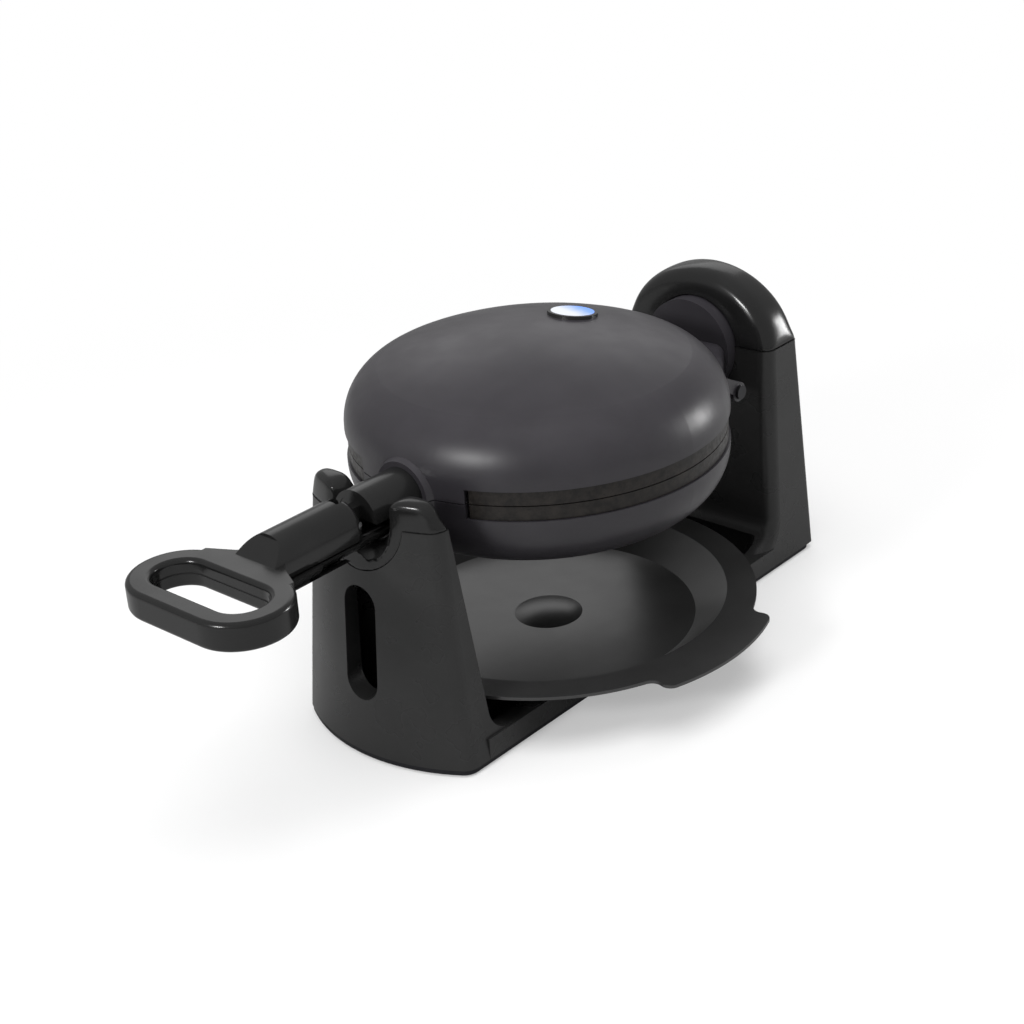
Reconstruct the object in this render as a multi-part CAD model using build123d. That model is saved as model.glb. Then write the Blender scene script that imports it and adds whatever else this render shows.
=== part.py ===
from build123d import *
import math
import os

# Rotating belgian waffle maker. Millimetres, +Z up, the front (handle) towards -Y.
# Heights called rise are measured from the flip axis, which runs along Y; all other heights from the table.
# Distances along Y are measured from the head's centre until save() moves them to the part's own origin.

# Driving dimensions: the head
axis_z = 135.0
head_r = 105.0
dome_rise = 56.0
shoulder_r = 32.0
shoulder_rise = 10.0
cover_rim_rise = 8.2
cover_wall = 2.6
apron_half_angle = 20.0
apron_depth = 5.5
part_gap = 0.3

# The baking plates
plate_inset = 1.2
cavity_r = 86.0
cavity_depth = 12.5
cavity_draft = 3.0
plate_wall = 3.2
groove_inset = 10.5
groove_r = head_r - groove_inset
groove_half = 1.6
groove_depth = 1.6
peg_pitch = 19.0
peg_base = 13.0
peg_tip = 9.6
peg_height = 9.0
element_r = 62.0
element_wire_r = 3.6
element_opening_angle = 40.0
reflector_r = 72.0
reflector_thick = 0.8

# The front neck, on which the head turns in its saddle
neck_r = 14.8
neck_wall = 3.0
neck_start = 107.0
upper_neck_end = 140.0
lower_neck_drop = 5.6
lower_neck_end = 178.0
boss_r = 17.6
boss_root_r = 27.0
boss_start = 84.0
end_disc_thick = 2.5

# The handle
barrel_r = 14.4
barrel_start = 147.0
barrel_end = 197.0
barrel_drop = 4.7
barrel_round = 5.0
handle_pivot_y = 149.5
handle_pivot_rise = 3.0
knuckle_half = 3.0
knuckle_r = 4.2
side_gap = 0.4
pin_r = 1.8
pin_fit = 0.05
loop_centre = 235.0
loop_outer_length = 94.0
loop_outer_width = 52.0
loop_hole_length = 70.0
loop_hole_width = 27.0
loop_top_rise = 4.0
loop_thick = 15.0
loop_edge_round = 2.6
web_half = 13.0
web_flare = 9.0
web_blend = 1.5
rail_r = 18.0
rail_wall = 2.2
rail_start = 157.0
rail_end = 204.0
rail_strip_drop = 13.5
rail_window_end = 183.0

# The base
base_half = 60.0
base_bottom = 4.0
front_apex = 152.0
front_arc_r = 106.0
front_lean = 12.0
front_lean_r = front_arc_r - front_lean
post_top_half = 45.0
post_seam_drop = 2.0
prong_top_rise = 13.0
prong_out_half = 40.0
prong_in_half = 20.5
prong_round = 8.5
post_edge_round = 9.0
post_rear_top = 121.0
post_rear_foot = 114.0
foot_round = 14.0
notch_r = 22.0
notch_flare_depth = 9.0
saddle_rim = 6.0
saddle_gap = 1.0
window_half = 11.0
window_top = 98.0
window_bottom = 34.0
rail_height = 16.0
rail_half_inner = 49.0
channel_floor = 7.0
channel_round = 6.0
shell_wall = 3.2
cavity_ceiling = 104.0

# The rear tower
tower_front = 145.0
tower_front_foot = 141.0
tower_back_top = 176.0
tower_back_foot = 185.0
tower_half = 53.0
tower_top_rise = 46.0
tower_round = 8.0
tower_back_round = 4.0
tower_seam_rise = 4.0
tower_fillet = 18.0
drum_r = 29.5
drum_start = 138.0
drum_end = 168.0
drum_wall = 2.6
drum_bore_end = 170.0
trunnion_r = 11.0
trunnion_wall = 2.5
trunnion_end = 181.0
bush_wall = 4.0

# The lid hinge, whose rod floats upwards in slots as the batter rises
hinge_y = 97.0
hinge_rod_r = 2.4
hinge_float = 4.0
rod_half = 70.0
rod_head_r = 4.0
rod_head_thick = 1.6
lug_in = 60.5
lug_thick = 5.5
lug_r = 5.6
lug_arm = 19.0
lug_arm_height = 8.0
rear_cut = 91.0
rear_cut_half = 57.0
yoke_half = 56.5
yoke_end_half = 27.0
yoke_top_rise = 6.0
yoke_drop = 33.0
yoke_end_drop = 24.0
yoke_round = 6.0

# The drip tray
tray_r = 118.5
tray_dish_r = 102.0
tray_floor_r = 86.0
tray_rim_z = 33.0
tray_sheet = 1.8
tray_boss_r = 19.5
tray_boss_rise = 3.4
tray_tab_reach = 11.5
tray_tab_r = tray_r + tray_tab_reach
tray_tab_half_angle = 21.6
tray_tab_round = 6.0
tray_flat = 113.4

# The underside
bottom_plate_thick = 2.8
bottom_plate_inset = 0.8
foot_r = 9.0
foot_thick = 1.2
foot_x = 44.0
front_foot_y = -127.0
rear_foot_y = 160.0
gland_r = 7.0
gland_bore_r = 3.2
gland_length = 7.0
gland_z = 22.0

# The indicator lamp
lamp_r = 12.0
lamp_y = 34.0
lamp_bezel = 2.0
lamp_thick = 3.0

# The part's origin is under the middle of its whole length
head_y = (loop_centre + loop_outer_width / 2 - tower_back_foot) / 2
big = 2 * (head_r + tray_tab_r)

# How far a cutting shape runs past what it cuts, and how deep joined shapes sit in one another
over = 1.0
lap = 2.0
ramp_run = 3.0

# Picking edges and corners: how near counts as on the spot, and how long counts as long
snap = 0.01
long_share = 1.4


def save(node, shape):
    shape = shape.moved(Location((0, head_y, 0)))
    shape.label = node
    export_step(shape, os.path.join("parts", node + ".step"))


def block(x0, x1, y0, y1, z0, z1):
    size = (x1 - x0, y1 - y0, z1 - z0)
    return Pos((x0 + x1) / 2, (y0 + y1) / 2, (z0 + z1) / 2) * Box(*size)


def along_y(shape, y, rise=0.0):
    """A shape drawn along Z is laid along +Y, its lower end at y and its centre on the flip axis."""
    return Pos(0, y, axis_z + rise) * Rot(-90, 0, 0) * shape


def rod_y(radius, y0, y1, rise=0.0):
    return along_y(Cylinder(radius, y1 - y0, align=(Align.CENTER, Align.CENTER, Align.MIN)), y0, rise)


def rod_x(radius, x0, x1, y, rise):
    bar = Cylinder(radius, x1 - x0, align=(Align.CENTER, Align.CENTER, Align.MIN))
    return Pos(x0, y, axis_z + rise) * Rot(0, 90, 0) * bar


def cone_y(r0, r1, y0, y1):
    solid = Cone(r0, r1, y1 - y0, align=(Align.CENTER, Align.CENTER, Align.MIN))
    return along_y(solid, y0)


def above(rise):
    return block(-big, big, -big, big, axis_z + rise, axis_z + big)


def below(rise):
    return block(-big, big, -big, big, axis_z - big, axis_z + rise)


def flipped(shape):
    """The same shape on the other side of the head's middle plane."""
    return Pos(0, 0, axis_z) * mirror(Pos(0, 0, -axis_z) * shape, about=Plane.XY)


def sector(half_angle, radius, side):
    """A wedge about the head's centre, opening towards side (-1 front, 1 rear)."""
    reach = radius * math.tan(math.radians(half_angle))
    wedge = Polyline((0, 0), (-reach, side * radius), (reach, side * radius), close=True)
    return extrude(make_face(wedge), amount=big, both=True)


def dome(radius, apex, shoulder, foot):
    """A solid dome: a crown arc that runs smoothly into a shoulder arc and a short upright rim."""
    side = radius - shoulder
    crown_r = (side**2 + (apex - shoulder_rise) ** 2 - shoulder**2) / (2 * (apex - shoulder_rise - shoulder))
    crown_z = apex - crown_r
    reach = math.hypot(side, shoulder_rise - crown_z)
    join = (crown_r * side / reach, crown_z + crown_r * (shoulder_rise - crown_z) / reach)
    knee = math.atan2(join[1] - shoulder_rise, join[0] - side) / 2
    crown_knee = math.atan2(join[0], join[1] - crown_z) / 2
    crown = ThreePointArc(
        (0, apex), (crown_r * math.sin(crown_knee), crown_z + crown_r * math.cos(crown_knee)), join
    )
    bend = ThreePointArc(
        join, (side + shoulder * math.cos(knee), shoulder_rise + shoulder * math.sin(knee)),
        (radius, shoulder_rise),
    )
    rest = Polyline((radius, shoulder_rise), (radius, foot), (0, foot), (0, apex))
    profile = make_face([crown, bend, rest])
    return Pos(0, 0, axis_z) * revolve(Plane.XZ * profile, Axis.Z)


def plate_room():
    """The room that one plate takes inside its cover."""
    skirt_r = head_r - apron_depth
    pan_r = cavity_r + plate_wall + 2 * part_gap
    skirt_top = cover_rim_rise + part_gap
    pan_top = cavity_depth + plate_wall + part_gap
    skirt = Cylinder(skirt_r, skirt_top, align=(Align.CENTER, Align.CENTER, Align.MIN))
    pan = Cylinder(pan_r, pan_top, align=(Align.CENTER, Align.CENTER, Align.MIN))
    return Pos(0, 0, axis_z) * (skirt + pan)


def rear_room():
    """What both covers leave free for the hinge yoke."""
    return block(-rear_cut_half, rear_cut_half, rear_cut, big, axis_z - big, axis_z + big)


def cover():
    """One cover shell, drawn as the upper one, with its neck boss, its apron and its flat rear wall."""
    outer = dome(head_r, dome_rise, shoulder_r, cover_rim_rise)
    inner = dome(head_r - cover_wall, dome_rise - cover_wall, shoulder_r - cover_wall, 0)
    shell = outer - inner
    ring_out = Cylinder(head_r, 2 * cover_rim_rise)
    ring_in = Cylinder(head_r - apron_depth + part_gap, 3 * cover_rim_rise)
    ring = Pos(0, 0, axis_z) * (ring_out - ring_in)
    apron = ring & sector(apron_half_angle, big, -1) & above(part_gap)
    boss = cone_y(boss_r, boss_root_r, -neck_start, -boss_start) & above(part_gap)
    shell = shell + apron + (boss - dome(head_r - apron_depth, dome_rise, shoulder_r, 0))
    wall_half = rear_cut_half + cover_wall
    wall = block(-wall_half, wall_half, rear_cut - cover_wall, rear_cut, axis_z, axis_z + big)
    shell = shell + (outer & wall)
    shell = shell - plate_room() - rear_room()
    return shell - rod_y(neck_r, -big, -boss_start - neck_wall)


def lamp_seat(radius, depth):
    """A disc laid into the crown of the upper cover at the lamp's place."""
    crown_reach = dome_rise - shoulder_rise
    side = head_r - shoulder_r
    crown_r = (side**2 + crown_reach**2 - shoulder_r**2) / (2 * (crown_reach - shoulder_r))
    lean = math.degrees(math.asin(lamp_y / crown_r))
    height = dome_rise - crown_r + math.sqrt(crown_r**2 - lamp_y**2)
    disc = Cylinder(radius, depth)
    return Pos(0, lamp_y, axis_z + height) * Rot(-lean, 0, 0) * disc


def upper_cover():
    shell = cover()
    lug = rod_x(lug_r, lug_in, lug_in + lug_thick, hinge_y, 0)
    low = axis_z + cover_rim_rise
    arm_start = hinge_y - lug_arm
    arm_line = Polyline(
        (arm_start, low), (arm_start, low + lug_arm_height), (hinge_y, axis_z + lug_r),
        (hinge_y + lug_r / 2, axis_z), (hinge_y - lug_r, axis_z), close=True
    )
    arm = Pos(lug_in, 0, 0) * extrude(Plane.YZ * make_face(arm_line), amount=lug_thick)
    both = lug + arm
    both = both + mirror(both, about=Plane.YZ)
    both = both - Pos(0, 0, axis_z) * Cylinder(head_r - cover_wall, big)
    both = both - Pos(0, 0, axis_z) * Cylinder(head_r + part_gap, 2 * cover_rim_rise)
    bore = rod_x(hinge_rod_r + pin_fit, -big, big, hinge_y, 0)
    shell = shell + both
    shell = shell - bore
    return shell - lamp_seat(lamp_r + lamp_bezel, 2 * lamp_thick)


def lower_cover():
    return flipped(cover())


def peg():
    foot = Plane.XY * Rectangle(peg_base, peg_base)
    tip = Pos(0, 0, -peg_height) * Rectangle(peg_tip, peg_tip)
    return loft([foot, tip])


def plate():
    """One baking plate, drawn as the upper one: a pan with a flat rim, a drip groove and square pegs."""
    plate_r = head_r - plate_inset
    face = part_gap
    skirt = cover_rim_rise - part_gap
    floor = face + cavity_depth
    out = cavity_r + plate_wall
    outline = Polyline(
        (0, floor), (cavity_r - cavity_draft, floor), (cavity_r, face), (groove_r - groove_half, face),
        (groove_r, face + groove_depth), (groove_r + groove_half, face), (plate_r, face), (plate_r, skirt),
        (out, skirt), (out - cavity_draft, floor + plate_wall), (0, floor + plate_wall), close=True
    )
    pan = revolve(Plane.XZ * make_face(outline), Axis.Z)
    count = int(cavity_r / peg_pitch) + 1
    places = []
    for i in range(-count, count):
        for j in range(-count, count):
            x = (i + 0.5) * peg_pitch
            y = (j + 0.5) * peg_pitch
            if math.hypot(x, y) + peg_base / math.sqrt(2) < cavity_r - cavity_draft:
                places.append(Pos(x, y, floor + part_gap) * peg())
    pan = pan.fuse(*places)
    notch_ring = Cylinder(big, 4 * cover_rim_rise) - Cylinder(head_r - apron_depth - part_gap, big)
    pan = pan - (notch_ring & sector(apron_half_angle + over, big, -1))
    half = rear_cut_half + part_gap
    pan = pan - block(-half, half, rear_cut - part_gap, big, -big, big)
    return Pos(0, 0, axis_z) * pan


def element():
    """The heating element: an open ring of round tube lying on the back of its plate."""
    turn = 360 - element_opening_angle
    centre = Plane.XZ * Pos(element_r, 0) * Circle(element_wire_r)
    ring = revolve(centre, Axis.Z, revolution_arc=turn)
    height = part_gap + cavity_depth + plate_wall + element_wire_r
    return Pos(0, 0, axis_z + height) * Rot(0, 0, 90 + element_opening_angle / 2) * ring


def reflector():
    """The heat shield between the element and the cover."""
    height = part_gap + cavity_depth + plate_wall + 2 * element_wire_r
    disc = Cylinder(reflector_r, reflector_thick, align=(Align.CENTER, Align.CENTER, Align.MIN))
    return Pos(0, 0, axis_z + height) * disc


def half_tube(radius, wall, y0, y1, cut):
    tube = rod_y(radius, y0, y1) - rod_y(radius - wall, y0, y1)
    return tube & cut


def upper_neck():
    tube = half_tube(neck_r, neck_wall, -upper_neck_end, -head_r + apron_depth, above(0))
    disc = rod_y(neck_r - neck_wall, -upper_neck_end + part_gap, -upper_neck_end + end_disc_thick) & above(0)
    tongue_reach = block(-knuckle_half, knuckle_half, -handle_pivot_y, -upper_neck_end + end_disc_thick,
                         axis_z - 0, axis_z + handle_pivot_rise + knuckle_r)
    tongue = tongue_reach + rod_x(knuckle_r, -knuckle_half, knuckle_half, -handle_pivot_y, handle_pivot_rise)
    tongue = tongue & above(handle_pivot_rise - knuckle_r)
    return tube + disc + tongue - rod_x(pin_r + pin_fit, -big, big, -handle_pivot_y, handle_pivot_rise)


def lower_neck():
    cut = below(-lower_neck_drop)
    start = head_r - apron_depth
    tube = half_tube(neck_r, neck_wall, -lower_neck_end, -start, cut)
    root = half_tube(neck_r, neck_wall, -neck_start - neck_wall, -start, below(-part_gap))
    cap = rod_y(neck_r, -lower_neck_end, -lower_neck_end + end_disc_thick) & cut
    return tube + cap + root


def handle_rail():
    """The lower handle shell, fixed on the lower neck: a trough with a long opening on each side."""
    trough = half_tube(rail_r, rail_wall, -rail_end, -rail_start, below(-lower_neck_drop))
    opening_low = axis_z - rail_strip_drop
    side = block(-big, big, -rail_window_end, -rail_start, opening_low, axis_z)
    end_round = Pos(0, -rail_window_end, (opening_low + axis_z - lower_neck_drop) / 2) * Rot(0, 90, 0)
    side = side + end_round * Cylinder((rail_strip_drop - lower_neck_drop) / 2, 2 * big)
    seat = rod_y(rail_r - rail_wall / 2, -rail_end, -lower_neck_end - part_gap) & below(-lower_neck_drop)
    strip = rod_y(rail_r - rail_wall / 2, -lower_neck_end, -rail_start) & below(-neck_r - part_gap / 2)
    return (trough - side) + (seat - rod_y(neck_r - neck_wall, -rail_end + end_disc_thick, -lower_neck_end)) + strip


def stadium(length, width):
    return SlotOverall(length, width)


def handle():
    """The barrel, the web that slopes down from it and the flat loop."""
    barrel = rod_y(barrel_r, -barrel_end, -barrel_start)
    near = barrel.edges().group_by(Axis.Y)[-1]
    barrel = fillet(near, barrel_round) & above(-barrel_drop)
    web_top = loop_centre - barrel_end
    inner = loop_outer_width / 2
    ring_edge = loop_hole_width / 2 + loop_edge_round
    web_line = Polyline(
        (-web_half, web_top + web_flare), (web_half, web_top + web_flare), (web_half, web_top - web_flare / 2),
        (web_half + 2 * web_flare, inner - web_blend), (web_half + 2 * web_flare, ring_edge),
        (-web_half - 2 * web_flare, ring_edge), (-web_half - 2 * web_flare, inner - web_blend),
        (-web_half, web_top - web_flare / 2), close=True
    )
    web = make_face(web_line)
    hollows = [v for v in web.vertices() if abs(v.Y - web_top + web_flare / 2) < web_blend]
    web = extrude(fillet(hollows, web_flare), amount=-loop_thick)
    level = axis_z + loop_top_rise
    ring = stadium(loop_outer_length, loop_outer_width) - stadium(loop_hole_length, loop_hole_width)
    ring = extrude(ring, amount=-loop_thick)
    rims = [e for e in ring.edges() if abs(e.center().Z + loop_thick / 2) > loop_thick / 2 - loop_edge_round / 2]
    plate_solid = Pos(0, -loop_centre, level) * (fillet(rims, loop_edge_round) + web)
    slope = Polyline(
        (-barrel_end + lap, axis_z - barrel_drop), (-barrel_end + lap, axis_z + barrel_r),
        (-barrel_end - web_flare - ramp_run, level - lap), (-barrel_end - web_flare - ramp_run, axis_z - barrel_drop), close=True
    )
    ramp = extrude(Plane.YZ * make_face(slope), amount=big, both=True) & rod_y(barrel_r, -loop_centre, -barrel_end + lap)
    whole = barrel + ramp + plate_solid
    room = rod_y(rail_r + part_gap, -rail_end - part_gap, -barrel_start + over) & below(-barrel_drop)
    room = room + (rod_y(rail_r + over, -rail_end - part_gap, -barrel_start + over) & below(-lower_neck_drop + part_gap))
    side = rail_r + part_gap
    whole = whole - room - block(-side, side, -rail_end - part_gap, -barrel_start + over, 0, axis_z - barrel_drop)
    slot_half = knuckle_half + side_gap
    slot = block(-slot_half, slot_half, -handle_pivot_y - knuckle_r - over, -barrel_start + over,
                 axis_z - big, axis_z + big)
    whole = whole - slot
    return whole - rod_x(pin_r, -big, big, -handle_pivot_y, handle_pivot_rise)


def handle_pin():
    reach = math.sqrt(barrel_r**2 - (handle_pivot_rise + pin_r) ** 2) - over
    return rod_x(pin_r, -reach, reach, -handle_pivot_y, handle_pivot_rise)


def hinge_rod():
    rod = rod_x(hinge_rod_r, -rod_half, rod_half, hinge_y, 0)
    head_at = lug_in + lug_thick + part_gap
    head = rod_x(rod_head_r, head_at, head_at + rod_head_thick, hinge_y, 0)
    rod = rod & block(-head_at - snap, head_at + snap, -big, big, 0, 2 * axis_z)
    return rod + head + mirror(head, about=Plane.YZ)


def yoke():
    """The hinge yoke between the lower cover and the drum, with the rod's two slots in one run."""
    def section(y, half, drop):
        height = yoke_top_rise + drop
        shape = RectangleRounded(2 * half, height, yoke_round)
        return Pos(0, y, axis_z + (yoke_top_rise - drop) / 2) * Rot(90, 0, 0) * shape
    start = rear_cut + part_gap
    body = loft([section(start, yoke_half, yoke_drop), section(drum_start, yoke_end_half, yoke_end_drop)])
    width = hinge_rod_r + pin_fit
    slot = rod_x(width, -big, big, hinge_y, 0) + rod_x(width, -big, big, hinge_y, hinge_float)
    slot = slot + block(-big, big, hinge_y - width, hinge_y + width, axis_z, axis_z + hinge_float)
    lug_room = rod_x(lug_r + over, lug_in - over, big, hinge_y, 0)
    nose = block(-big, big, rear_cut, hinge_y, axis_z, axis_z + big)
    nose = nose - rod_x(hinge_y - rear_cut - part_gap, -big, big, hinge_y, 0)
    body = body - nose
    return body - slot - lug_room - mirror(lug_room, about=Plane.YZ)


def drum_half(part):
    """Half of the hollow drum that turns in the tower's collar."""
    outer = rod_y(drum_r, drum_start, drum_end)
    inner = rod_y(drum_r - drum_wall, drum_start + drum_wall, drum_end - drum_wall)
    shaft = rod_y(trunnion_r, drum_end - drum_wall - over, drum_end + over)
    return (outer - inner - shaft) & part


def trunnion():
    outer = rod_y(trunnion_r, drum_end - drum_wall, trunnion_end - bush_wall)
    return outer - rod_y(trunnion_r - trunnion_wall, drum_end - drum_wall, trunnion_end)


def bush():
    ring = rod_y(trunnion_r + bush_wall, drum_bore_end, trunnion_end - bush_wall)
    return ring - rod_y(trunnion_r + pin_fit, drum_bore_end - over, trunnion_end)


def post():
    """The whole front post: a leaning front, tapering sides and two rounded prongs beside the notch."""
    top = axis_z + prong_top_rise
    seam = axis_z - post_seam_drop
    half = Polyline(
        (-base_half, base_bottom), (base_half, base_bottom), (post_top_half, seam), (prong_out_half, top),
        (prong_in_half - lap, top), (-prong_in_half + lap, top), (-prong_out_half, top), (-post_top_half, seam),
        close=True
    )
    face = make_face(half)
    gap_shape = Polyline(
        (neck_r + saddle_gap, axis_z), (prong_in_half - over, top + over), (-prong_in_half + over, top + over),
        (-neck_r - part_gap, axis_z), close=True
    )
    face = face - make_face(gap_shape) - Pos(0, axis_z) * Circle(neck_r + saddle_gap)
    corners = [v for v in face.vertices() if v.Y > top - lap / 2]
    face = fillet(corners, prong_round)
    slab = extrude(Plane.XZ * face, amount=2 * big, both=True)
    centre_y = -front_apex + front_arc_r
    slope = (front_arc_r - front_lean_r) / axis_z
    tall = 2 * axis_z
    lean = Pos(0, centre_y, 0) * Cone(front_arc_r, front_arc_r - slope * tall, tall,
                                      align=(Align.CENTER, Align.CENTER, Align.MIN))
    body = slab & lean
    fall = (post_rear_top - post_rear_foot) / (axis_z - rail_height)
    side_line = Polyline(
        (-big, 0), (-big, tall), (-post_rear_top - fall * (tall - axis_z), tall),
        (-post_rear_foot, rail_height), (-head_r + foot_round, rail_height), (-head_r + foot_round, 0), close=True
    )
    side = make_face(side_line)
    crease = [v for v in side.vertices() if abs(v.X + post_rear_foot) < snap and abs(v.Y - rail_height) < snap]
    side = fillet(crease, foot_round)
    body = body & extrude(Plane.YZ * side, amount=big, both=True)
    corner = [e for e in body.edges() if abs(e.center().X) > post_top_half - 2 * lap and e.center().Y < -post_rear_top
              and (e @ 0 - e @ 1).length > axis_z / 2]
    body = fillet(corner, post_edge_round)
    flare = cone_y(notch_r + lap, neck_r + saddle_gap, -front_apex + front_arc_r - front_lean_r - over,
                   -front_apex + front_arc_r - front_lean_r + notch_flare_depth)
    return body - flare


def saddle_region():
    """The part of the post's front view that belongs to the separate saddle moulding."""
    seam = axis_z - post_seam_drop
    band = block(-big, big, -big, 0, seam, 2 * axis_z)
    return band + rod_y(notch_r + saddle_rim, -big, 0)


def tray_room():
    return Pos(0, 0, rail_height + part_gap) * Cylinder(
        tray_r + over, axis_z / 3, align=(Align.CENTER, Align.CENTER, Align.MIN))


def rails():
    body = block(-base_half, base_half, -head_r - foot_round, head_r + 2 * tower_fillet, base_bottom, rail_height)
    return body


def channel():
    """The sunk floor between the two side rails."""
    long = tower_front_foot + post_rear_foot
    shape = RectangleRounded(2 * rail_half_inner, long - lap, channel_round)
    middle = (tower_front_foot - post_rear_foot) / 2
    return Pos(0, middle, channel_floor) * extrude(shape, amount=rail_height)


def tower():
    """The whole rear tower: an arched, edge-rounded slab around the drum's bore."""
    arch = Pos(0, axis_z) * Ellipse(tower_half, tower_top_rise)
    lower = make_face(Polyline(
        (-base_half, base_bottom), (base_half, base_bottom), (tower_half, axis_z), (-tower_half, axis_z), close=True
    ))
    slab = extrude(Plane.XZ * (arch + lower), amount=big, both=True)
    tall = axis_z + tower_top_rise
    lean = (tower_front - tower_front_foot) / (axis_z - rail_height)
    back = (tower_back_foot - tower_back_top) / axis_z
    side_line = Polyline(
        (head_r, 0), (head_r, rail_height), (tower_front_foot, rail_height),
        (tower_front + lean * (tall - axis_z), tall + over), (tower_back_top - back * (tall - axis_z), tall + over),
        (tower_back_foot, 0), close=True
    )
    side = make_face(side_line)
    crease = [v for v in side.vertices() if abs(v.X - tower_front_foot) < snap]
    side = fillet(crease, tower_fillet)
    body = slab & extrude(Plane.YZ * side, amount=big, both=True)
    long = [e for e in body.edges() if e.length > long_share * tower_half]
    edge = [e for e in long if abs(e.center().X) > tower_half or e.center().Z > axis_z]
    edge = [e for e in edge if e.center().Z > rail_height]
    middle = (tower_front + tower_back_top) / 2
    body = fillet([e for e in edge if e.center().Y < middle], tower_round)
    long = [e for e in body.edges() if e.length > long_share * tower_half and e.center().Y > middle]
    edge = [e for e in long if abs(e.center().X) > tower_half or e.center().Z > axis_z]
    return fillet([e for e in edge if e.center().Z > rail_height], tower_back_round)


def shell_cavity():
    """The hollow inside the front post that its window opens into."""
    low = base_bottom - over
    def section(z):
        share = (z - base_bottom) / (axis_z - base_bottom)
        half = base_half + (post_top_half - base_half) * share - shell_wall
        front = front_apex - (front_arc_r - front_lean_r) * share - shell_wall
        rear = post_rear_foot + (post_rear_top - post_rear_foot) * share + shell_wall
        room = half - post_edge_round - shell_wall
        arc_r = front_arc_r - (front_arc_r - front_lean_r) * share
        sag = arc_r - math.sqrt(arc_r**2 - room**2)
        depth = front - sag - rear
        return Pos(0, -(rear + depth / 2), z) * RectangleRounded(2 * room, depth, shell_wall)
    return loft([section(low), section(cavity_ceiling)])


def window_cut():
    height = window_top - window_bottom
    shape = Plane.XZ * Pos(0, (window_top + window_bottom) / 2) * Rot(0, 0, 90) * SlotOverall(height, 2 * window_half)
    deep = (front_apex + post_rear_foot) / 2
    return Pos(0, -deep, 0) * extrude(shape, amount=deep)


def gland_axis(radius, length, start):
    return Pos(0, start, gland_z) * Rot(-90, 0, 0) * Cylinder(
        radius, length, align=(Align.CENTER, Align.CENTER, Align.MIN))


def base_parts():
    whole_post = post() - tray_room()
    whole_tower = tower()
    bore = rod_y(drum_r + part_gap, head_r, drum_bore_end)
    bush_seat = rod_y(trunnion_r + bush_wall, drum_bore_end - over, trunnion_end - bush_wall)
    whole_tower = whole_tower - bore - bush_seat
    cap = whole_tower & above(tower_seam_rise)
    tower_low = whole_tower & below(tower_seam_rise)
    saddle = whole_post & saddle_region()
    post_low = whole_post - saddle_region() - shell_cavity() - window_cut()
    low = post_low + rails() + tower_low - channel() - tray_room()
    low = low - gland_axis(gland_r, big, tower_back_foot - gland_length)
    return low, saddle, cap


def base_outline(inset):
    """The base's outline on the table."""
    front = front_apex - inset
    arc_r = front_arc_r - inset
    centre = -front + arc_r
    half = base_half - inset
    corner = centre - math.sqrt(arc_r**2 - half**2)
    back = tower_back_foot - inset
    nose = ThreePointArc((-half, corner), (0, -front), (half, corner))
    rest = Polyline((half, corner), (half, back), (-half, back), (-half, corner))
    face = make_face([nose, rest])
    sides = [v for v in face.vertices() if v.Y < 0]
    face = fillet(sides, post_edge_round)
    rear = [v for v in face.vertices() if v.Y > 0]
    return fillet(rear, post_edge_round)


def bottom_plate():
    low = base_bottom - bottom_plate_thick
    return Pos(0, 0, low) * extrude(base_outline(bottom_plate_inset), amount=bottom_plate_thick)


def foot(x, y):
    return Pos(x, y, 0) * Cylinder(foot_r, foot_thick, align=(Align.CENTER, Align.CENTER, Align.MIN))


def gland():
    ring = gland_axis(gland_r, gland_length + lap, tower_back_foot - gland_length)
    return ring - gland_axis(gland_bore_r, big, 0)


def tray_wedge():
    """The slice of space that a finger tab fills, on the right."""
    reach = 2 * tray_tab_r * math.tan(math.radians(tray_tab_half_angle))
    slice_line = Polyline((0, 0), (2 * tray_tab_r, -reach), (2 * tray_tab_r, reach), close=True)
    return extrude(make_face(slice_line), amount=tray_sheet, both=True)


def near_rim(point):
    return abs(math.hypot(point.X, point.Y) - tray_r) < tray_sheet and abs(point.X) > tray_dish_r


def tray():
    """The drip tray: a dished disc with a flat flange, a raised middle and two finger tabs."""
    floor = rail_height + part_gap
    sheet = tray_sheet
    outline = Polyline(
        (0, floor), (tray_floor_r, floor), (tray_dish_r, tray_rim_z - sheet), (tray_r, tray_rim_z - sheet),
        (tray_r, tray_rim_z), (tray_dish_r, tray_rim_z), (tray_floor_r - lap, floor + sheet), (0, floor + sheet),
        close=True
    )
    dish = revolve(Plane.XZ * make_face(outline), Axis.Z)
    middle = tray_rim_z - sheet / 2
    flange = Pos(0, 0, middle) * Cylinder(tray_r, sheet)
    for turn in (0, 180):
        tab = Pos(0, 0, middle) * (Cylinder(tray_tab_r, sheet) & Rot(0, 0, turn) * tray_wedge())
        tips = [e for e in tab.edges().filter_by(Axis.Z) if abs(e.center().X) > tray_dish_r]
        flange = flange + fillet(tips, tray_tab_round)
    roots = [e for e in flange.edges().filter_by(Axis.Z) if near_rim(e.center())]
    flange = fillet(roots, tray_tab_round)
    flange = flange - Pos(0, 0, middle) * Cylinder(tray_dish_r + sheet, 2 * sheet)
    flange = flange - block(-big, big, -big, -tray_flat, 0, big)
    ball_r = (tray_boss_r**2 + tray_boss_rise**2) / (2 * tray_boss_rise)
    boss = Pos(0, 0, floor + sheet + tray_boss_rise - ball_r) * Sphere(ball_r)
    boss = boss & Pos(0, 0, floor + sheet / 2) * Cylinder(
        ball_r, 2 * tray_boss_rise, align=(Align.CENTER, Align.CENTER, Align.MIN))
    rim_cut = block(-big, big, -big, -tray_flat, 0, big)
    return dish - rim_cut + flange + boss


def lamp_lens():
    return lamp_seat(lamp_r, lamp_thick)


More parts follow.
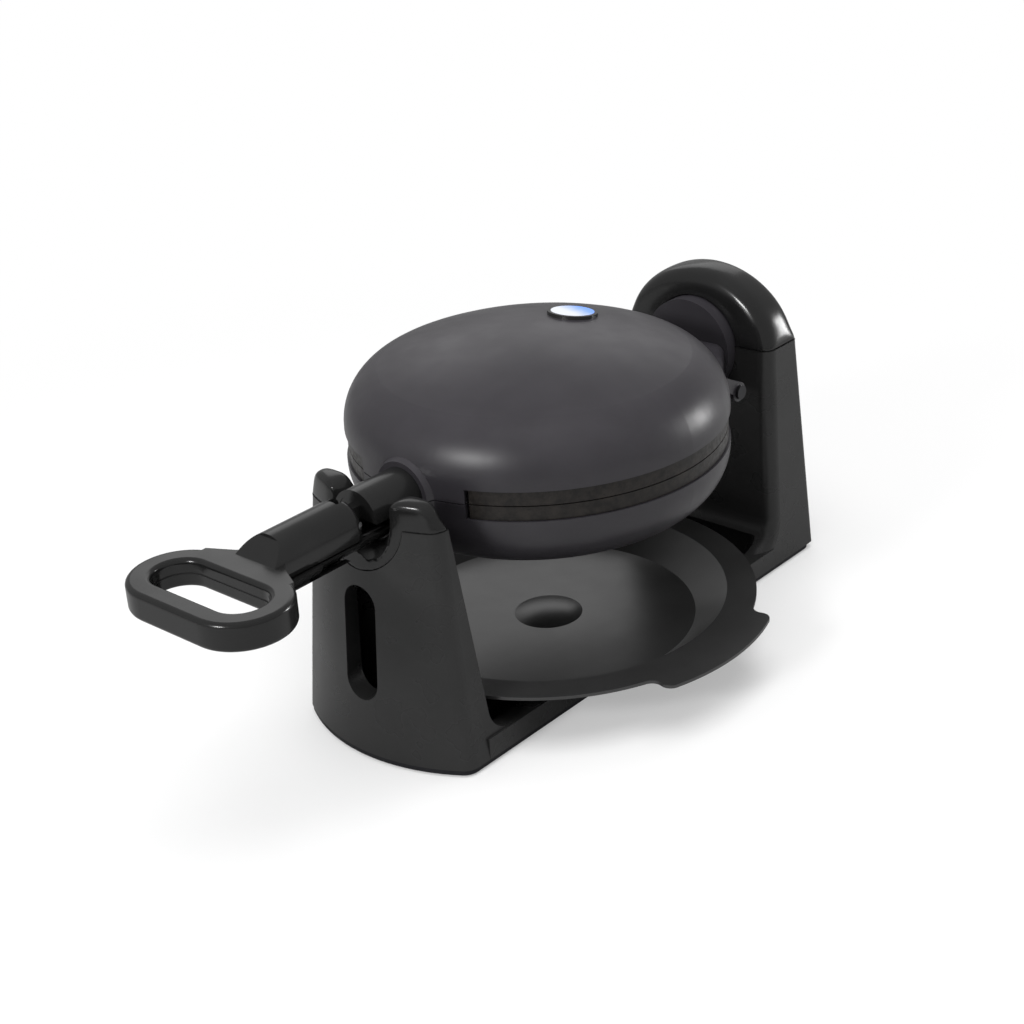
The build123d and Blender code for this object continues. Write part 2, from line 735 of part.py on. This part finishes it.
def lamp_bezel_ring():
    return lamp_seat(lamp_r + lamp_bezel, lamp_thick) - lamp_seat(lamp_r, 2 * lamp_thick)


os.makedirs("parts", exist_ok=True)
base_housing, front_saddle, tower_cap = base_parts()
save("base_housing", base_housing)
save("front_saddle", front_saddle)
save("tower_cap", tower_cap)
save("bottom_plate", bottom_plate())
for name, x, y in (
    ("foot_front_left", -foot_x, front_foot_y),
    ("foot_front_right", foot_x, front_foot_y),
    ("foot_rear_left", -foot_x, rear_foot_y),
    ("foot_rear_right", foot_x, rear_foot_y),
):
    save(name, foot(x, y))
save("cord_gland", gland())
save("trunnion_bush", bush())
save("drip_tray", tray())
save("lower_cover", lower_cover())
save("lower_plate", flipped(plate()))
save("lower_element", flipped(element()))
save("lower_reflector", flipped(reflector()))
save("lower_neck", lower_neck())
save("handle_rail", handle_rail())
save("hinge_yoke", yoke())
save("drum_upper_shell", drum_half(above(0)))
save("drum_lower_shell", drum_half(below(0)))
save("trunnion", trunnion())
save("hinge_rod", hinge_rod())
save("upper_cover", upper_cover())
save("upper_plate", plate())
save("upper_element", element())
save("upper_reflector", reflector())
save("upper_neck", upper_neck())
save("lamp_bezel", lamp_bezel_ring())
save("lamp_lens", lamp_lens())
save("handle", handle())
save("handle_pin", handle_pin())
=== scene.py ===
import math

import bmesh
import bpy
import numpy as np
from mathutils import Matrix, Vector


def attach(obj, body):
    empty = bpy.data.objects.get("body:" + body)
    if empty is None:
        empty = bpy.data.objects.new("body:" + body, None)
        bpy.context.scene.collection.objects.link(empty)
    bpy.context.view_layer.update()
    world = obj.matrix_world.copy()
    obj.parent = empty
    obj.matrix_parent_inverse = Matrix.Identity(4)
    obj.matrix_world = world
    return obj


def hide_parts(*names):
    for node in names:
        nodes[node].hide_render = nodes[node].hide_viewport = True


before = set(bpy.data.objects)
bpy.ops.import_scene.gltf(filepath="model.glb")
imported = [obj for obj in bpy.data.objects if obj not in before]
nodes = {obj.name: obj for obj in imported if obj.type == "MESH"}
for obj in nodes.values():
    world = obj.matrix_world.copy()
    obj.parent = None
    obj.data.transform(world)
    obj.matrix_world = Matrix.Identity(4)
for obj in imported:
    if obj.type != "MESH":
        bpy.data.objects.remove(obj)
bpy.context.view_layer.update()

# Places taken from the frame, in metres
axis_z = 0.135                      # the level axis about which the head turns
head_y = 0.038                      # the middle of the round head
lens_y = head_y + 0.034             # the middle of the lamp lens
loop_y = -0.197                     # the middle of the handle's loop
loop_mid_z = 0.1315                 # the height of the loop's parting line
saddle_seam_z = axis_z - 0.002      # where the saddle meets the post
saddle_seam_r = 0.0218              # the arc of that seam round the axis
cap_seam_z = axis_z + 0.004         # where the cap meets the tower

# Trim round the loop: length and width of the line, and radius of the trim
loop_seams = {
    "loop_seam_outer": (0.0936, 0.0516, 0.0002),
    "loop_seam_inner": (0.070, 0.027, 0.00035),
}
moulding_seam_radius = 0.00018
same_place = 0.000002               # corners nearer than this are one
sharp_edge = 0.6                    # radians


def add_object(name, data):
    piece = bpy.data.objects.new(name, data)
    bpy.context.scene.collection.objects.link(piece)
    return piece


# Materials. Each is a shader with its own fine variation of colour, roughness and relief.
def linear(level):
    level = level / 255
    return level / 12.92 if level <= 0.04045 else ((level + 0.055) / 1.055) ** 2.4


def colour(red, green, blue):
    return (linear(red), linear(green), linear(blue), 1.0)


def grey(level):
    return (level, level, level, 1.0)


def cleared_tree(owner):
    owner.use_nodes = True
    owner.node_tree.nodes.clear()
    return owner.node_tree


def new_material(name):
    made = bpy.data.materials.new(name)
    tree = cleared_tree(made)
    out = tree.nodes.new("ShaderNodeOutputMaterial")
    shader = tree.nodes.new("ShaderNodeBsdfPrincipled")
    tree.links.new(shader.outputs["BSDF"], out.inputs["Surface"])
    return made, tree, shader


def place(tree):
    return tree.nodes.new("ShaderNodeTexCoord").outputs["Object"]


def noise(tree, where, scale, detail=3.0, rough=0.5):
    made = tree.nodes.new("ShaderNodeTexNoise")
    made.inputs["Scale"].default_value = scale
    made.inputs["Detail"].default_value = detail
    made.inputs["Roughness"].default_value = rough
    tree.links.new(where, made.inputs["Vector"])
    return made.outputs["Fac"]


def spread(tree, value, low, high, lo_in=0.3, hi_in=0.7):
    made = tree.nodes.new("ShaderNodeMapRange")
    made.inputs["From Min"].default_value = lo_in
    made.inputs["From Max"].default_value = hi_in
    made.inputs["To Min"].default_value = low
    made.inputs["To Max"].default_value = high
    made.interpolation_type = "SMOOTHSTEP"
    tree.links.new(value, made.inputs["Value"])
    return made.outputs["Result"]


def mix_colours(tree, value, first, second):
    made = tree.nodes.new("ShaderNodeMix")
    made.data_type = "RGBA"
    tree.links.new(value, made.inputs["Factor"])
    made.inputs["A"].default_value = first
    made.inputs["B"].default_value = second
    return made.outputs["Result"]


def multiply_add(tree, value, factor, added):
    made = tree.nodes.new("ShaderNodeMath")
    made.operation = "MULTIPLY_ADD"
    tree.links.new(value, made.inputs[0])
    made.inputs[1].default_value = factor
    tree.links.new(added, made.inputs[2])
    return made.outputs["Value"]


def mapped(tree, where, socket, amounts):
    made = tree.nodes.new("ShaderNodeMapping")
    made.inputs[socket].default_value = amounts
    tree.links.new(where, made.inputs["Vector"])
    return made.outputs["Vector"]


def relief(tree, shader, height, strength, distance):
    bump = tree.nodes.new("ShaderNodeBump")
    bump.inputs["Strength"].default_value = strength
    bump.inputs["Distance"].default_value = distance
    tree.links.new(height, bump.inputs["Height"])
    tree.links.new(bump.outputs["Normal"], shader.inputs["Normal"])


def moulded(name, first, second, rough, grain, depth, metal=0.0, shine=0.5):
    """Moulded or painted surface: cloudy colour, uneven gloss and a fine surface grain."""
    made, tree, shader = new_material(name)
    where = place(tree)
    cloud = spread(tree, noise(tree, where, 26.0, 4.0, 0.55), 0.0, 1.0)
    tone = mix_colours(tree, cloud, colour(*first), colour(*second))
    tree.links.new(tone, shader.inputs["Base Color"])
    patch = noise(tree, where, 60.0, 2.0, 0.5)
    tree.links.new(spread(tree, patch, *rough), shader.inputs["Roughness"])
    relief(tree, shader, noise(tree, where, grain, 2.0, 0.5), 0.35, depth)
    shader.inputs["Metallic"].default_value = metal
    shader.inputs["Specular IOR Level"].default_value = shine
    return made


def cast_plate():
    """Coated cast metal of the cooking plates: warm dark grey with a pebbled cast skin."""
    made, tree, shader = new_material("cast_plate")
    where = place(tree)
    cloud = spread(tree, noise(tree, where, 180.0, 5.0, 0.65), 0.0, 1.0)
    tone = mix_colours(tree, cloud, colour(24, 22, 21), colour(44, 40, 37))
    tree.links.new(tone, shader.inputs["Base Color"])
    tree.links.new(spread(tree, noise(tree, where, 420.0), 0.34, 0.5), shader.inputs["Roughness"])
    relief(tree, shader, noise(tree, where, 1100.0, 3.0, 0.6), 0.5, 0.00012)
    shader.inputs["Metallic"].default_value = 0.3
    return made


def brushed_steel():
    """Bare steel with fine turning marks."""
    made, tree, shader = new_material("brushed_steel")
    stretched = mapped(tree, place(tree), "Scale", (40.0, 900.0, 900.0))
    lines = noise(tree, stretched, 3.0, 4.0, 0.6)
    tone = mix_colours(tree, spread(tree, lines, 0.0, 1.0), colour(150, 150, 152), colour(186, 186, 188))
    tree.links.new(tone, shader.inputs["Base Color"])
    tree.links.new(spread(tree, lines, 0.22, 0.36), shader.inputs["Roughness"])
    relief(tree, shader, lines, 0.2, 0.00003)
    shader.inputs["Metallic"].default_value = 1.0
    return made


def lit_lens():
    """Milky lamp lens, lit blue from one side."""
    made, tree, shader = new_material("lit_lens")
    where = place(tree)
    parts = tree.nodes.new("ShaderNodeSeparateXYZ")
    tree.links.new(mapped(tree, where, "Location", (0.0, -lens_y, 0.0)), parts.inputs["Vector"])
    across = multiply_add(tree, parts.outputs["X"], 0.35, parts.outputs["Y"])
    sway = multiply_add(tree, noise(tree, where, 160.0, 3.0, 0.5), 0.006, across)
    share = spread(tree, sway, 0.0, 1.0, -0.002, 0.014)
    tone = mix_colours(tree, share, colour(214, 218, 226), colour(96, 150, 246))
    tree.links.new(tone, shader.inputs["Base Color"])
    tree.links.new(tone, shader.inputs["Emission Color"])
    shader.inputs["Emission Strength"].default_value = 0.45
    shader.inputs["Roughness"].default_value = 0.16
    shader.inputs["Coat Weight"].default_value = 0.6
    shader.inputs["Coat Roughness"].default_value = 0.05
    return made


head_paint = moulded("head_paint", (47, 45, 49), (53, 51, 55), (0.33, 0.39), 2600.0, 0.00003)
black_gloss = moulded("black_gloss", (24, 24, 24), (28, 28, 28), (0.16, 0.22), 900.0, 0.00002)
black_satin = moulded("black_satin", (35, 35, 35), (40, 40, 40), (0.27, 0.29), 1800.0, 0.00002, shine=0.45)
strip_plastic = moulded("strip_plastic", (32, 32, 35), (38, 38, 41), (0.42, 0.5), 2200.0, 0.00004, shine=0.15)
tray_coat = moulded("tray_coat", (84, 84, 84), (90, 90, 90), (0.28, 0.30), 3200.0, 0.000006, metal=0.75)
rubber = moulded("foot_rubber", (20, 20, 21), (28, 28, 29), (0.72, 0.85), 4000.0, 0.00006)
# The trunnion bush's pale grey is a painted highlight: it stands in for the light caught on the saddle liner's
# round inner face.
bush_plastic = moulded("bush_plastic", (120, 118, 112), (134, 131, 124), (0.45, 0.55), 2400.0, 0.00003)
seam_dark = moulded("seam_dark", (8, 8, 8), (12, 12, 12), (0.6, 0.7), 3000.0, 0.00002)
dark_steel = moulded("dark_steel", (52, 52, 54), (64, 64, 66), (0.26, 0.34), 2400.0, 0.00002, metal=0.85)

pieces_in = {
    head_paint: ("lower_cover", "upper_cover", "hinge_yoke", "drum_upper_shell", "drum_lower_shell"),
    black_gloss: ("front_saddle", "tower_cap", "lower_neck", "upper_neck", "handle_rail", "handle"),
    black_satin: ("base_housing", "cord_gland", "trunnion", "lamp_bezel"),
    strip_plastic: ("bottom_plate",),
    tray_coat: ("drip_tray",),
    rubber: ("foot_front_left", "foot_front_right", "foot_rear_left", "foot_rear_right"),
    bush_plastic: ("trunnion_bush",),
    dark_steel: ("hinge_rod",),
    cast_plate(): ("lower_plate", "upper_plate"),
    brushed_steel(): ("lower_element", "upper_element", "lower_reflector", "upper_reflector", "handle_pin"),
    lit_lens(): ("lamp_lens",),
}
finish_of = {name: finish for finish, names in pieces_in.items() for name in names}
for name, node in nodes.items():
    node.data.materials.clear()
    node.data.materials.append(finish_of[name])


# Seam round the handle's loop, outside and inside
def trim_curve(name, radius, resolution):
    curve = bpy.data.curves.new(name, "CURVE")
    curve.dimensions = "3D"
    curve.bevel_depth = radius
    curve.bevel_resolution = resolution
    return curve


def trim_line(curve, points, closed=False):
    line = curve.splines.new("POLY")
    line.points.add(len(points) - 1)
    for place_at, point in zip(line.points, points):
        place_at.co = (*point, 1.0)
    line.use_cyclic_u = closed


def trim_piece(name, curve, body):
    curve.materials.append(seam_dark)
    piece = add_object(name, curve)
    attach(piece, body)


def stadium_points(length, width, centre_y, z, steps=16):
    half = width / 2
    run = length / 2 - half
    points = []
    for side in (1, -1):
        for step in range(steps + 1):
            angle = side * math.pi / 2 - math.pi * step / steps
            points.append((side * run + half * math.cos(angle), centre_y + half * math.sin(angle), z))
    return points


for name, (length, width, radius) in loop_seams.items():
    trim = trim_curve(name, radius, 2)
    trim_line(trim, stadium_points(length, width, loop_y, loop_mid_z), closed=True)
    trim_piece(name, trim, "handle")


# Seams between mouldings: the sharp edges of a piece that lie where it meets the next one
def joined_mesh(mesh):
    work = bmesh.new()
    work.from_mesh(mesh)
    bmesh.ops.remove_doubles(work, verts=work.verts, dist=same_place)
    return work


def seam_lines(name, node, on_seam):
    work = joined_mesh(nodes[node].data)
    trim = trim_curve(name, moulding_seam_radius, 1)
    for edge in work.edges:
        ends = [vert.co for vert in edge.verts]
        if len(edge.link_faces) == 2 and edge.calc_face_angle() > sharp_edge and all(map(on_seam, ends)):
            trim_line(trim, ends)
    work.free()
    trim_piece(name, trim, "base")


def on_saddle_seam(point):
    from_axis = math.hypot(point.x, point.z - axis_z)
    on_level = abs(point.z - saddle_seam_z) < 0.0002 and abs(point.x) > 0.02
    on_arc = abs(from_axis - saddle_seam_r) < 0.0004 and point.z < axis_z
    return on_level or on_arc


def on_cap_seam(point):
    return abs(point.z - cap_seam_z) < 0.0002


seam_lines("saddle_seam", "front_saddle", on_saddle_seam)
seam_lines("cap_seam", "tower_cap", on_cap_seam)


# The saddle and the tower's cap are rounder than their solids: each is a smoothed copy of its node
def ramp(values, low, high):
    share = np.clip((values - low) / (high - low), 0.0, 1.0)
    return share * share * (3.0 - 2.0 * share)


def voxel_copy(name, mesh, voxel):
    source = add_object(name + "_source", mesh.copy())
    work = joined_mesh(source.data)
    work.to_mesh(source.data)
    work.free()
    remesh = source.modifiers.new("remesh", "REMESH")
    remesh.mode = "VOXEL"
    remesh.voxel_size = voxel
    seen_by = bpy.context.evaluated_depsgraph_get()
    made = bpy.data.meshes.new_from_object(source.evaluated_get(seen_by))
    bpy.data.objects.remove(source)
    made.name = name
    return made


def smooth(mesh, rounds, weight_at):
    """Draws each corner towards the mean of its neighbours, by the weight given for its place."""
    count = len(mesh.vertices)
    places = np.empty(count * 3)
    mesh.vertices.foreach_get("co", places)
    places = places.reshape(-1, 3)
    ends = np.empty(len(mesh.edges) * 2, int)
    mesh.edges.foreach_get("vertices", ends)
    ends = ends.reshape(-1, 2)
    degree = np.bincount(ends.ravel(), minlength=count)[:, None]
    weight = weight_at(places)[:, None] * 0.6
    for _ in range(rounds):
        total = np.zeros_like(places)
        for axis in range(3):
            total[:, axis] = np.bincount(ends[:, 0], places[ends[:, 1], axis], count)
            total[:, axis] += np.bincount(ends[:, 1], places[ends[:, 0], axis], count)
        places += weight * (total / degree - places)
    mesh.vertices.foreach_set("co", places.ravel())
    mesh.update()


def rounded_copy(name, node, voxel, rounds, weight_at):
    mesh = voxel_copy(name, nodes[node].data, voxel)
    smooth(mesh, rounds, weight_at)
    mesh.materials.clear()
    mesh.materials.append(black_gloss)
    mesh.polygons.foreach_set("use_smooth", [True] * len(mesh.polygons))
    piece = add_object(name, mesh)
    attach(piece, "base")
    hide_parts(node)


def rounding(heights, radii):
    """Full weight above the heights and outside the radii given, about the flip axis, and little elsewhere."""
    def weight_at(places):
        from_axis = np.hypot(places[:, 0], places[:, 2] - axis_z)
        above = ramp(places[:, 2], axis_z + heights[0], axis_z + heights[1])
        return 0.04 + 0.96 * above * ramp(from_axis, *radii)
    return weight_at


rounded_copy("saddle_moulding", "front_saddle", 0.0007, 70, rounding((-0.001, 0.005), (0.0165, 0.0195)))
rounded_copy("cap_moulding", "tower_cap", 0.0008, 110, rounding((0.0045, 0.014), (0.034, 0.039)))

# Camera at the photograph's angle
camera_data = bpy.data.cameras.new("camera")
camera_data.sensor_width = 36.0
camera_data.lens = 65.92
camera_data.clip_start = 0.05
camera_data.clip_end = 60.0
camera = add_object("camera", camera_data)
right = Vector((0.75340426, 0.65481182, -0.06002921))
up = Vector((-0.2442366, 0.36342867, 0.89903731))
back = Vector((0.610517, -0.662678, 0.433738))
turn = Matrix((right, up, back)).transposed().to_4x4()
camera.matrix_world = Matrix.Translation((0.62714, -0.66801, 0.53726)) @ turn
bpy.context.scene.camera = camera


# Floor, world and lamps
def seen_by_camera(tree):
    return tree.nodes.new("ShaderNodeLightPath").outputs["Is Camera Ray"]


def mixed(tree, share, first, second, out):
    both = tree.nodes.new("ShaderNodeMixShader")
    tree.links.new(share, both.inputs[0])
    tree.links.new(first, both.inputs[1])
    tree.links.new(second, both.inputs[2])
    tree.links.new(both.outputs["Shader"], out.inputs["Surface"])


def floor_material():
    """Matt pale floor that fades to plain white away from the object, for the camera alone."""
    made = bpy.data.materials.new("floor_white")
    tree = cleared_tree(made)
    out = tree.nodes.new("ShaderNodeOutputMaterial")
    matt = tree.nodes.new("ShaderNodeBsdfDiffuse")
    glow = tree.nodes.new("ShaderNodeEmission")
    glow.inputs["Color"].default_value = grey(1.0)
    glow.inputs["Strength"].default_value = 1.0
    camera_ray = seen_by_camera(tree)
    tree.links.new(mix_colours(tree, camera_ray, grey(0.42), grey(0.86)), matt.inputs["Color"])
    far = tree.nodes.new("ShaderNodeVectorMath")
    far.operation = "LENGTH"
    tree.links.new(place(tree), far.inputs[0])
    whiteness = tree.nodes.new("ShaderNodeMath")
    whiteness.operation = "MULTIPLY"
    tree.links.new(camera_ray, whiteness.inputs[0])
    tree.links.new(spread(tree, far.outputs["Value"], 0.35, 1.0, 0.30, 0.75), whiteness.inputs[1])
    mixed(tree, whiteness.outputs["Value"], matt.outputs["BSDF"], glow.outputs["Emission"], out)
    return made


floor_reach = 12.0
corners = [(x * floor_reach, y * floor_reach, 0) for x, y in ((-1, -1), (1, -1), (1, 1), (-1, 1))]
floor_mesh = bpy.data.meshes.new("floor")
floor_mesh.from_pydata(corners, [], [(0, 1, 2, 3)])
floor_mesh.materials.append(floor_material())
add_object("floor", floor_mesh)


def background(tree, level, strength):
    made = tree.nodes.new("ShaderNodeBackground")
    made.inputs["Color"].default_value = grey(level)
    made.inputs["Strength"].default_value = strength
    return made.outputs["Background"]


world = bpy.data.worlds.new("studio")
bpy.context.scene.world = world
sky = cleared_tree(world)
sky_out = sky.nodes.new("ShaderNodeOutputWorld")
mixed(sky, seen_by_camera(sky), background(sky, 0.5, 0.75), background(sky, 1.0, 1.0), sky_out)


def lamp(name, at, aim, width, height, power):
    data = bpy.data.lights.new(name, "AREA")
    data.shape = "RECTANGLE"
    data.size = width
    data.size_y = height
    data.energy = power
    made = add_object(name, data)
    made.location = at
    made.rotation_mode = "QUATERNION"
    made.rotation_quaternion = (Vector(aim) - Vector(at)).to_track_quat("-Z", "Y")
    return made


key = lamp("key_above", (0.2, -0.1, 2.0), (0.0, 0.0, 0.0), 1.8, 1.8, 36.0)
key.visible_glossy = False
lamp("front_soft", (0.02, -1.62, 0.92), (0.0, -0.05, 0.15), 0.42, 0.26, 13.0)
lamp("back_panel", (-1.25, 1.55, 1.2), (0.0, 0.0, 0.05), 1.7, 0.9, 3.2)
lamp("right_strip", (0.95, 1.5, 0.32), (0.08, 0.04, 0.14), 0.22, 0.5, 8.0)

bpy.context.scene.view_settings.view_transform = "Standard"
